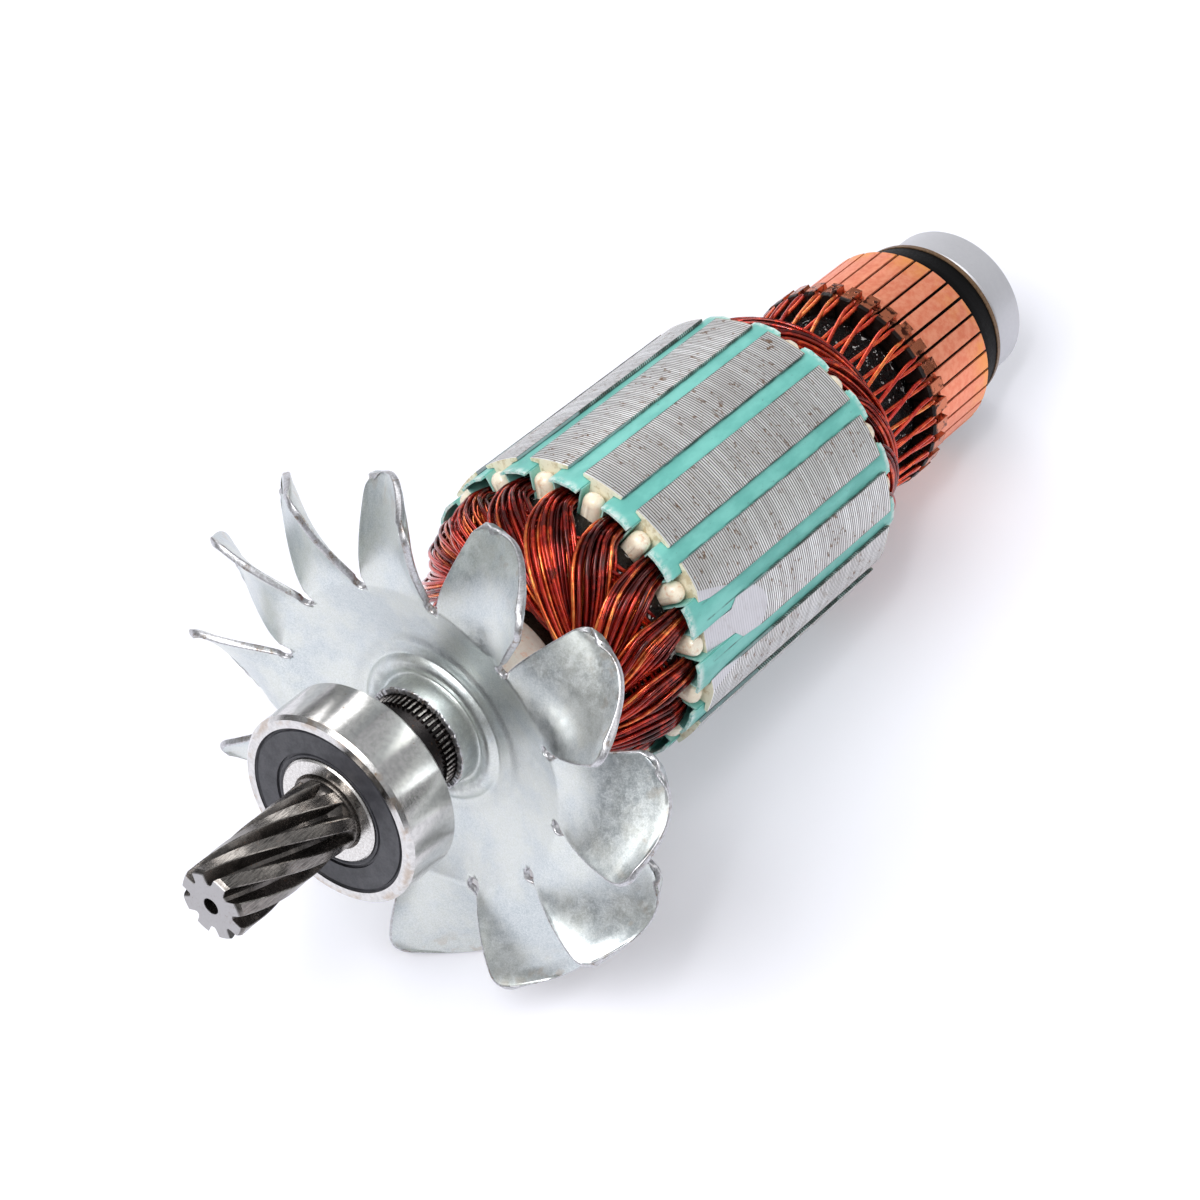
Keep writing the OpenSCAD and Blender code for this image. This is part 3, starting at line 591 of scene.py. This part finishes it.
def bundle(centre, count, across, thick, rng, swirl=0.5, wander=0.12):
    """Wires side by side along a centre line; across and thick may vary along it."""
    t = np.gradient(centre, axis=0)
    t /= np.linalg.norm(t, axis=1)[:, None]
    ref = centre * np.array([1, 1, 0])
    ref /= np.linalg.norm(ref, axis=1)[:, None]
    e1 = ref - (ref * t).sum(1)[:, None] * t
    e1 /= np.linalg.norm(e1, axis=1)[:, None]
    e2 = np.cross(t, e1)
    n = len(centre)
    s = np.linspace(0, 1, n)
    across = np.broadcast_to(across, n)
    thick = np.broadcast_to(thick, n)
    turn = rng.uniform(0, FULL_TURN)
    turn = turn + swirl * np.sin(s * 3.1 + rng.uniform(0, FULL_TURN))
    px, py = sunflower(count)
    out = []
    for k in range(count):
        a = np.arctan2(py[k], px[k]) + turn
        rad = math.hypot(px[k], py[k])
        w1 = wander * np.sin(s * rng.uniform(5, 11) + rng.uniform(0, FULL_TURN))
        w2 = wander * np.sin(s * rng.uniform(5, 11) + rng.uniform(0, FULL_TURN))
        o = (across * rad * np.cos(a) + w1)[:, None] * e1 + (thick * rad * np.sin(a) + w2)[:, None] * e2
        out.append(centre + o)
    return out


# ---------------------------------------------------------------- front winding head
rng = random.Random(7)
wires = []
# drawn wire radii in millimetres, wires drawn in a bundle, and the length of a list of tones
WIRE_R, REAR_WIRE_R, LEAD_R = 0.33, 0.36, 0.39
FRONT_WIRES, REAR_WIRES = 28, 14
TONES = 997
FRONT_STEPS, REAR_STEPS = 44, 46
for k in range(slots):
    p0 = slot_phase + k * slot_step
    r_min = 12.6 + 0.25 * rng.uniform(-1, 1)
    lift = 0.8 * rng.uniform(-1, 1)
    lean = rng.uniform(-2.5, 2.5)
    pts = [
        (22.0, p0, head_z + 2.2),
        (22.6, p0, head_z - 0.2),
        (22.2, p0 + 1.5, head_z - 3.2),
        (20.5, p0 + 7.0 + 0.6 * lean, head_z - 6.6 - 0.4 * lift),
        (17.8, p0 + 17.0 + lean, head_z - 9.2 - lift),
        (15.2, p0 + 30.0 + lean, head_z - 11.0 - lift),
        (13.4, p0 + 46.0 + lean, head_z - 11.7 - 0.6 * lift),
        (r_min, p0 + 64.0, head_z - 10.8),
        (r_min + 0.2, p0 + 82.0, head_z - 8.6),
        (r_min + 1.0, p0 + 100.0, head_z - 6.6),
        (15.6, p0 + 116.0, head_z - 5.4),
        (17.8, p0 + 132.0, head_z - 4.4),
        (19.4, p0 + 146.0, head_z - 3.4),
        (19.4, p0 + 156.0, head_z - 1.6),
        (18.6, p0 + 157.5, head_z + 2.0),
    ]
    centre = smooth_path(pts, FRONT_STEPS)
    s = np.linspace(0, 1, FRONT_STEPS)
    ease = np.clip((s - 0.02) / 0.1, 0, 1) * np.clip((0.97 - s) / 0.1, 0, 1)
    across = 1.5 * (1 - ease) + 1.7 * ease
    spread = np.exp(-(((s - 0.2) / 0.14) ** 2))
    thick = 2.3 * (1 - ease) + (2.7 + 1.4 * spread + 0.25 * rng.uniform(-1, 1)) * ease
    wires += bundle(centre, FRONT_WIRES, across, thick, rng, swirl=0.22, wander=0.2)
wire_mats = [MATS["enamel_wire"], enamel_painted_highlight, enamel_painted_shade]
wire_tones = rng.choices([0, 1, 2], [5, 2, 3], k=TONES)
front = tubes("front_coil_wires", wires, WIRE_R, wire_mats, wire_tones, 5)
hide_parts("armature_winding")

# ---------------------------------------------------------------- rear winding head and leads
wires = []
for k in range(slots):
    p0 = slot_phase + k * slot_step
    lift = 0.4 * rng.uniform(-1, 1)
    pts = [
        (21.4, p0, rear_head_z - 2.0),
        (21.7, p0, rear_head_z + 0.3),
        (21.9, p0 + 3.0, rear_head_z + 2.2),
        (21.5, p0 + 12.0, rear_head_z + 4.0),
        (20.4, p0 + 26.0, rear_head_z + 5.8 + lift),
        (19.0, p0 + 42.0, rear_head_z + 7.2 + lift),
        (17.6, p0 + 58.0, rear_head_z + 7.4),
        (16.4, p0 + 76.0, rear_head_z + 5.4),
        (16.4, p0 + 96.0, rear_head_z + 3.4),
        (18.0, p0 + 120.0, rear_head_z + 2.4),
        (19.4, p0 + 144.0, rear_head_z + 1.8),
        (19.4, p0 + 156.0, rear_head_z + 1.0),
        (18.6, p0 + 157.5, rear_head_z - 2.0),
    ]
    centre = smooth_path(pts, REAR_STEPS)
    wires += bundle(centre, REAR_WIRES, 1.5, 1.6, rng)
rear_mats = [MATS["enamel_wire"], MATS["lead_wire"], enamel_painted_shade]
rear_tones = rng.choices([0, 1, 2], [3, 5, 2], k=TONES)
tubes("rear_coil_wires", wires, REAR_WIRE_R, rear_mats, rear_tones, 5)

lead_paths = []
eye_r, eye_z = 18.2, hook_z + 1.7
for k in range(bars):
    p0 = bar_phase + (k + 0.5) * bar_step
    w = rng.uniform(-1, 1)
    # one wire of each pair runs nearly straight to the core, the other leans round the shaft
    v = rng.uniform(-1, 1)
    straight = [
        (16.2, p0 - 6.0 + 2.0 * w, hook_z - 13.2),
        (16.9, p0 - 5.2 + 1.4 * w, hook_z - 10.0),
        (17.5, p0 - 4.6 + 0.6 * w, hook_z - 5.6),
        (18.1, p0 - 4.0, hook_z - 1.8),
        (18.4, p0 - 3.9, hook_z + 0.4),
        (eye_r, p0 - 3.0, eye_z - 0.1),
        (eye_r, p0, eye_z + 0.05),
    ]
    leaning = [
        (16.1, p0 + 13.0 + 3.5 * v, hook_z - 13.0),
        (16.8, p0 + 10.4 + 2.6 * v, hook_z - 10.6),
        (17.6, p0 + 7.2 + 1.4 * v, hook_z - 6.6),
        (18.2, p0 + 4.6, hook_z - 2.2),
        (18.4, p0 + 4.0, hook_z + 0.3),
        (eye_r, p0 + 3.0, eye_z - 0.1),
        (eye_r, p0, eye_z + 0.05),
    ]
    lead_paths += [smooth_path(straight, 22), smooth_path(leaning, 26)]
# the brighter enamel copy among the leads is painted highlight
lead_mats = rear_mats[:2] + [enamel_painted_highlight]
lead_tones = rng.choices([0, 1, 2], [4, 7, 1], k=TONES)
leads = tubes("hook_lead_wires", lead_paths, LEAD_R, lead_mats, lead_tones, 8)
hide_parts("commutator_leads")


def revolve(name, profile, mat, rough, seed, count=192):
    """A closed ring swept round the shaft from (r, u) points, with a little unevenness."""
    prof = np.asarray(profile, float)
    m = len(prof)
    rnd = np.random.RandomState(seed)
    ph = rnd.uniform(0, FULL_TURN, (4, 2))
    psi = np.arange(count) * 360 / count
    verts = []
    for i, a in enumerate(psi):
        d = 0.0
        for h in range(4):
            d += math.sin(math.radians(a) * (7 + 9 * h) + ph[h, 0]) / (1 + h)
        q = prof.copy()
        q[:, 0] += rough * d
        verts.extend(to_world(polar(q[:, 0], np.full(m, a), q[:, 1])))
    faces = []
    for i in range(count):
        for j in range(m):
            a, b = i * m + j, i * m + (j + 1) % m
            c, d = ((i + 1) % count) * m + (j + 1) % m, ((i + 1) % count) * m + j
            faces.append((a, b, c, d))
    return make_mesh(name, verts, faces, mat)


revolve("varnished_bed", [
    (bed_r, head_z), (21.4, head_z), (21.0, head_z - 2.4), (19.2, head_z - 5.6), (15.8, head_z - 8.8),
    (12.4, head_z - 10.4), (bed_r, head_z - 10.0)], varnish, 0.12, 3)
revolve("varnished_rear_bed", [
    (bed_r, rear_head_z), (20.6, rear_head_z), (20.2, rear_head_z + 3.5), (17.6, rear_head_z + 6.2),
    (15.9, rear_head_z + 8.0), (15.2, hook_z - 8.0), (15.6, hook_z - 2.0), (15.2, hook_z - 0.35),
    (13.65, hook_z - 0.35), (12.2, hook_z - 1.65), (bed_r, hook_z - 1.65)], varnish, 0.16, 5)

# ---------------------------------------------------------------- fan
fan_r, slit_r, sheet, dish_r = 43.87, 26.5, 1.2, 12.6
fan_z, dish_rise, slit_w, hole_r, corner_r = 23.7, 3.5, 1.3, 1.05, 3.4
bore_r = 8.42
twist, scoop, tip_drop, tip_skew = 35.0, 2.5, 1.7, 0.35
half_step = math.pi / blades


def soft(t):
    t = np.clip(t, 0, 1)
    return t * t * (3 - 2 * t)


def dish_z(r):
    t = (r - dish_r) / (slit_r - dish_r)
    ridge = 0.22 * np.exp(-(((r - 15.4) / 1.0) ** 2))
    return fan_z - dish_rise * (0.35 * t + 0.65 * t * t) - ridge


def blade_mid(r):
    t = (r - slit_r) / (fan_r - slit_r)
    return np.where(r <= slit_r, dish_z(r), dish_z(np.minimum(r, slit_r)) - 3.6 * t * (1 - t) + 1 * t)


def half_width(r):
    """Half the flat blade, without the slit, at a radius."""
    full = r * half_step + (r * math.tan(half_step) - r * half_step) * soft((r - slit_r) / 4)
    over = np.clip(r - (fan_r - corner_r), 0, corner_r)
    return full - np.where(r > slit_r, slit_w / 2, 0) - corner_r + np.sqrt(corner_r**2 - over**2)


def blade_point(r, y):
    """Middle of the sheet at flat radius r and sideways place y, blade along straight down."""
    t = np.maximum(0, (r - slit_r) / (fan_r - slit_r))
    v = np.clip(y / half_width(r), -1, 1)
    a = y / r
    q = r - tip_drop * t * (v * v - tip_skew * v)
    w = q * np.sin(a)
    tw = np.radians(twist) * t * (1.6 - 0.6 * t)
    # the pressing turns up a narrow lip along the tip and, less, along the sides
    lip = 0.3 * soft((r - fan_r + 3.2) / 2.6) + 0.1 * soft((np.abs(v) - 0.8) / 0.2) * soft(t * 4)
    z = blade_mid(r) + sheet / 2 - w * np.sin(tw) + scoop * t * (1 - v * v) - lip
    return np.stack([q * np.cos(a), w * np.cos(tw), z], -1)


def blade_outline():
    """Side of a flat blade from the slit's hole to the middle of its tip corner, and half of its tip."""
    meet = math.degrees(math.asin(slit_w / 2 / hole_r))
    phi = np.radians(np.linspace(0, 180 - meet, 9))
    r = slit_r - hole_r * np.cos(phi)
    side_r = [r, np.linspace(slit_r + 1.5, fan_r - corner_r, 22)]
    side_y = [r * half_step - hole_r * np.sin(phi), half_width(side_r[1])]
    th = np.radians(np.linspace(9, 45, 5))
    corner = (fan_r - corner_r + corner_r * np.sin(th), half_width(fan_r - corner_r + corner_r * np.sin(th)))
    return np.concatenate(side_r + [corner[0]]), np.concatenate(side_y + [corner[1]])


def build_fan():
    cols = 24
    ring = blades * cols
    w = np.linspace(-1, 1, cols + 1)
    hub = [(bore_r, 19.95), (bore_r, 20.6), (bore_r, fan_z - 2.0), (8.47, fan_z - 0.9),
           (8.65, fan_z - 0.1), (9.0, fan_z + 0.3), (9.5, fan_z + 0.42), (10.0, fan_z + 0.25),
           (10.4, fan_z - 0.1), (10.8, fan_z - 0.38), (11.2, fan_z - 0.45), (11.6, fan_z - 0.3),
           (12.0, fan_z + 0.05), (12.3, fan_z + 0.35), (12.6, fan_z + 0.52)]
    hub += [(r, float(dish_z(r)) + sheet / 2) for r in np.linspace(13.1, slit_r - hole_r, 20)]
    rnd = np.random.RandomState(11)
    verts = []
    for i, (r, u) in enumerate(hub):
        psi = np.radians(np.arange(ring) * 360 / ring)
        uu = u + (0.3 * rnd.rand(ring) ** 2 - 0.22 if i == 0 else np.zeros(ring))
        verts.append(np.stack([r * np.cos(psi), r * np.sin(psi), uu], -1))
    verts = np.concatenate(verts)
    rows = len(hub)
    side_r, side_y = blade_outline()
    steps = np.concatenate([[0], np.cumsum(np.hypot(np.diff(side_r), np.diff(side_y)))])
    s = (steps / steps[-1])[1:, None]
    th = np.radians(np.linspace(45, 90, 7))
    tip_r = np.concatenate([fan_r - corner_r + corner_r * np.sin(th), [fan_r]])
    tip_y = np.concatenate([half_width(fan_r - corner_r + corner_r * np.sin(th)), [0]])
    tip_s = np.concatenate([[0], np.cumsum(np.hypot(np.diff(tip_r), np.diff(tip_y)))])
    tip_s /= tip_s[-1]
    at = 1 - np.abs(w)
    dr = np.interp(at, tip_s, tip_r) - tip_r[0]
    dy = np.sign(w) * np.interp(at, tip_s, tip_y) - w * tip_y[0]
    flat_r = side_r[1:, None] + s * dr[None, :]
    flat_y = side_y[1:, None] * w[None, :] + s * dy[None, :]
    local = blade_point(flat_r, flat_y)
    # normals are taken a little inside the outline, where the surface has no kink
    rr, yy, d = np.minimum(flat_r, fan_r - 0.3), flat_y * 0.98, 0.05
    outward = blade_point(rr + d, yy) - blade_point(rr - d, yy)
    sideways = blade_point(rr, yy + d) - blade_point(rr, yy - d)
    local_n = np.cross(outward, sideways)
    local_n /= np.linalg.norm(local_n, axis=-1)[..., None]
    k = len(side_r) - 1
    faces, loop = [], []
    for i in range(rows - 1):
        for j in range(ring):
            n = (j + 1) % ring
            faces.append((i * ring + j, i * ring + n, (i + 1) * ring + n, (i + 1) * ring + j))
    last = (rows - 1) * ring
    hub_t = np.gradient(np.array(hub), axis=0)
    hub_t /= np.linalg.norm(hub_t, axis=1)[:, None]
    psi = np.radians(np.arange(ring) * 360 / ring)
    normals = [np.stack([-u * np.cos(psi), -u * np.sin(psi), r + 0 * psi], -1) for r, u in hub_t]
    parts = [verts]
    size = rows * ring
    for b in range(blades):
        a = (b + 0.5) * 2 * half_step
        turn = np.array([[math.cos(a), -math.sin(a), 0], [math.sin(a), math.cos(a), 0], [0, 0, 1]])
        parts.append((local @ turn.T).reshape(-1, 3))
        ids = [[last + (b * cols + j) % ring for j in range(cols + 1)]]
        ids += [[size + i * (cols + 1) + j for j in range(cols + 1)] for i in range(k)]
        for i in range(k):
            for j in range(cols):
                faces.append((ids[i][j], ids[i][j + 1], ids[i + 1][j + 1], ids[i + 1][j]))
        loop += [ids[i][0] for i in range(k)] + ids[k][:-1] + [ids[i][cols] for i in range(k, 0, -1)]
        size += k * (cols + 1)
        normals.append((local_n @ turn.T).reshape(-1, 3))
    p, n = np.concatenate(parts), np.concatenate(normals)
    half, edge = (sheet - 0.1) / 2, 0.26
    top, low = p + half * n, p - half * n
    count = len(p)
    all_v = [top, low]
    all_f = faces + [tuple(x + count for x in reversed(q)) for q in faces]
    base = 2 * count
    turns = [math.radians(x) for x in (30, 60, 90, 90, 120, 150)]
    for ids, flip in ((loop, 1), (list(range(ring)), -1)):
        ids = np.array(ids)
        q, m = p[ids], n[ids]
        t = np.roll(q, -1, 0) - np.roll(q, 1, 0)
        o = flip * np.cross(t, m)
        o /= np.linalg.norm(o, axis=1)[:, None]
        top[ids] = q - edge * o + half * m
        low[ids] = q - edge * o - half * m
        strips = [ids]
        for i, x in enumerate(turns):
            lift = half - edge if i < 3 else edge - half
            all_v.append(q - edge * o + lift * m + edge * (math.cos(x) * m + math.sin(x) * o))
            strips.append(np.arange(len(ids)) + base)
            base += len(ids)
        strips.append(ids + count)
        for a, b in zip(strips[:-1], strips[1:]):
            for j in range(len(ids)):
                x = (j + 1) % len(ids)
                quad = (int(a[j]), int(b[j]), int(b[x]), int(a[x]))
                all_f.append(quad if flip > 0 else quad[::-1])
    rim_start = 2 * len(faces)
    obj = make_mesh("pressed_fan", to_world(np.concatenate(all_v)), all_f, MATS["zinc_sheet"])
    bm = bmesh.new()
    bm.from_mesh(obj.data)
    bmesh.ops.recalc_face_normals(bm, faces=bm.faces)
    bm.to_mesh(obj.data)
    bm.free()
    obj.data.materials.append(cut_edge)
    for poly in obj.data.polygons:
        if poly.index >= rim_start:
            poly.material_index = 1
    return obj


fan = build_fan()
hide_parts("fan")

# ---------------------------------------------------------------- floor, light, camera
floor_gap = 0.0002
bpy.ops.mesh.primitive_plane_add(size=6, location=(0, 0, -floor_gap))
floor = bpy.context.object
floor.name = "floor"
fl = Nodes("studio_floor")
lp = fl.t.nodes.new("ShaderNodeLightPath")
seen = fl.math("MAXIMUM", fl.math("MAXIMUM", lp.outputs["Is Camera Ray"], lp.outputs["Is Glossy Ray"]),
               lp.outputs["Is Transmission Ray"])
fl.finish((0.79, 0.79, 0.85), 0.9, 0.0)
fl.bsdf.inputs["Specular IOR Level"].default_value = 0.0
fl.bsdf.inputs["Emission Color"].default_value = (1, 1, 1, 1)
fl.link(fl.math("MULTIPLY", seen, 0.2), fl.bsdf.inputs["Emission Strength"])
floor.data.materials.append(fl.mat)

world = bpy.data.worlds.new("studio")
bpy.context.scene.world = world
world.use_nodes = True
wt = world.node_tree
wt.nodes.clear()


def world_node(kind, **inputs):
    n = wt.nodes.new("ShaderNode" + kind)
    for k, v in inputs.items():
        n.inputs[int(k[1:])].default_value = v
    return n


# the room is pale overhead and dim near the horizon, so that metal shows light and dark bands
wo, mixs, wlp = world_node("OutputWorld"), world_node("MixShader"), world_node("LightPath")
coord, sep = world_node("TexCoord"), world_node("SeparateXYZ")
height = world_node("MapRange", _1=-0.1, _2=0.9, _3=0.10, _4=0.62)
height.interpolation_type = "SMOOTHSTEP"
bg = world_node("Background", _0=(0.95, 0.97, 1.0, 1))
white = world_node("Background", _0=(1, 1, 1, 1), _1=1.0)
wt.links.new(coord.outputs["Generated"], sep.inputs[0])
wt.links.new(sep.outputs[2], height.inputs[0])
wt.links.new(height.outputs[0], bg.inputs[1])
wt.links.new(wlp.outputs["Is Camera Ray"], mixs.inputs[0])
wt.links.new(bg.outputs[0], mixs.inputs[1])
wt.links.new(white.outputs[0], mixs.inputs[2])
wt.links.new(mixs.outputs[0], wo.inputs[0])


def area(name, loc, aim, size, watts, size_y=None):
    light = bpy.data.lights.new(name, "AREA")
    light.energy = watts
    light.shape = "RECTANGLE"
    light.size = size
    light.size_y = size_y or size
    obj = bpy.data.objects.new(name, light)
    bpy.context.scene.collection.objects.link(obj)
    obj.location = loc
    obj.rotation_euler = (Vector(aim) - Vector(loc)).to_track_quat("-Z", "Y").to_euler()


area("key", (-0.55, 0.15, 0.85), (0, 0, 0.03), 0.55, 5.5)
area("fill", (0.2, -0.9, 0.55), (0, 0, 0.03), 0.7, 2.2)
area("rim", (0.55, 0.75, 0.55), (0, 0, 0.03), 0.5, 2.2)
area("strip", (-0.30, -0.10, 0.62), (0, 0, 0.04), 0.05, 0.9, size_y=0.4)

scene = bpy.context.scene
cam_data = bpy.data.cameras.new("camera")
cam_data.lens = 91.69
cam_data.sensor_width = 36
cam_data.clip_start = 0.01
cam = bpy.data.objects.new("camera", cam_data)
scene.collection.objects.link(cam)
cam.location = (-0.24346, -0.18481, 0.41179)
aim = Vector((-0.02923, -0.01645, 0.06547))
look = (aim - cam.location).to_track_quat("-Z", "Y").to_matrix()
cam.rotation_euler = (look @ Matrix.Rotation(math.radians(-0.47), 3, "Z")).to_euler()
scene.camera = cam
scene.view_settings.view_transform = "Standard"
